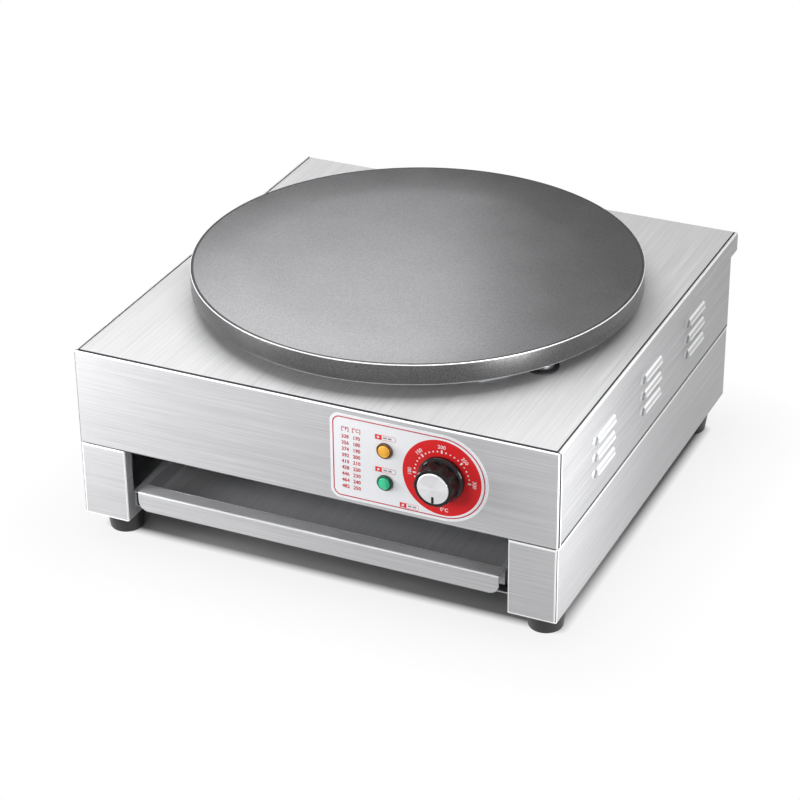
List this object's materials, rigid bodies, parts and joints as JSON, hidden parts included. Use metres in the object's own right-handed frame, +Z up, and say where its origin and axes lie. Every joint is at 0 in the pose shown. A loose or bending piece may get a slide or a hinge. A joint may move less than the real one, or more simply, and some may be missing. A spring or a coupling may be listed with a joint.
{
  "type": "electric crepe maker",
  "caption": "Countertop electric crepe maker: round cast griddle plate on legs over a louvred sheet steel housing with knob, pilot lamps and a slide-out utensil tray.",
  "frame": {"origin": "on the worktop under the middle of the whole appliance", "axes": "+Z up, the control panel faces -Y, +X to the right seen from the front"},
  "size_m": [0.451, 0.4722, 0.2175],
  "materials": {
    "body_sheet": "brushed stainless sheet with rounded folds",
    "inner_sheet": "plain galvanised sheet",
    "cast_plate": "machined cast iron, fine matte grain",
    "leg_steel": "turned steel",
    "black_washer": "pressed fibre washer",
    "fastener": "zinc plated",
    "heater": "oxidised sheathed tube",
    "bright_pin": "plain",
    "copper": "plain copper",
    "pad_fibre": "ceramic fibre blanket",
    "tray_sheet": "brushed stainless sheet",
    "foot_rubber": "matte black",
    "knob_plastic": "black phenolic moulding",
    "knob_metal": "spun brushed disc",
    "label_film": "printed film on a thin plate",
    "amber_plastic": "translucent amber",
    "green_plastic": "translucent green",
    "block_plastic": "heat resistant moulding",
    "thermostat_case": "ceramic-filled moulding",
    "control_plastic": "moulded housing",
    "gland_plastic": "black polyamide"
  },
  "bodies": {
    "housing": {"amber_lamp": "amber_plastic", "base_left_side": "body_sheet", "base_rear_panel": "body_sheet", "base_right_side": "body_sheet", "bulb_clip": "inner_sheet", "cable_gland": "gland_plastic", "clamp_bolt": "fastener", "contactor": "control_plastic", "control_label": "label_film", "element_clamp": "inner_sheet", "element_terminals": "bright_pin", "foot_bolts": "fastener", "front_left_foot": "foot_rubber", "front_panel": "body_sheet", "front_right_foot": "foot_rubber", "gland_locknut": "gland_plastic", "green_lamp": "green_plastic", "griddle_plate": "cast_plate", "heat_shield_pan": "inner_sheet", "housing_floor": "inner_sheet", "inner_element": "heater", "insulation_pad": "pad_fibre", "left_side_panel": "body_sheet", "left_tray_runner": "inner_sheet", "leg_nuts": "fastener", "leg_washers": "black_washer", "outer_element": "heater", "plate_legs": "leg_steel", "rear_left_foot": "foot_rubber", "rear_panel": "body_sheet", "rear_right_foot": "foot_rubber", "right_side_panel": "body_sheet", "right_tray_runner": "inner_sheet", "sensor_bulb": "copper", "terminal_block": "block_plastic", "thermostat": "thermostat_case", "thermostat_nut": "fastener", "top_panel": "body_sheet"},
    "tray": {"tray_pan": "tray_sheet", "tray_handle": "tray_sheet"},
    "knob": {"knob": "knob_plastic", "knob_cap": "knob_metal", "thermostat_shaft": "bright_pin"}
  },
  "joints": [
    {"name": "tray_slide", "type": "slide", "parent": "housing", "child": "tray", "axis": [0, -1, 0], "range_m": [0, 0.36]},
    {"name": "knob_turn", "type": "hinge", "parent": "housing", "child": "knob", "pos_m": [0.1205, -0.218, 0.1407], "axis": [0, 1, 0], "range_deg": [0, 270]}
  ]
}
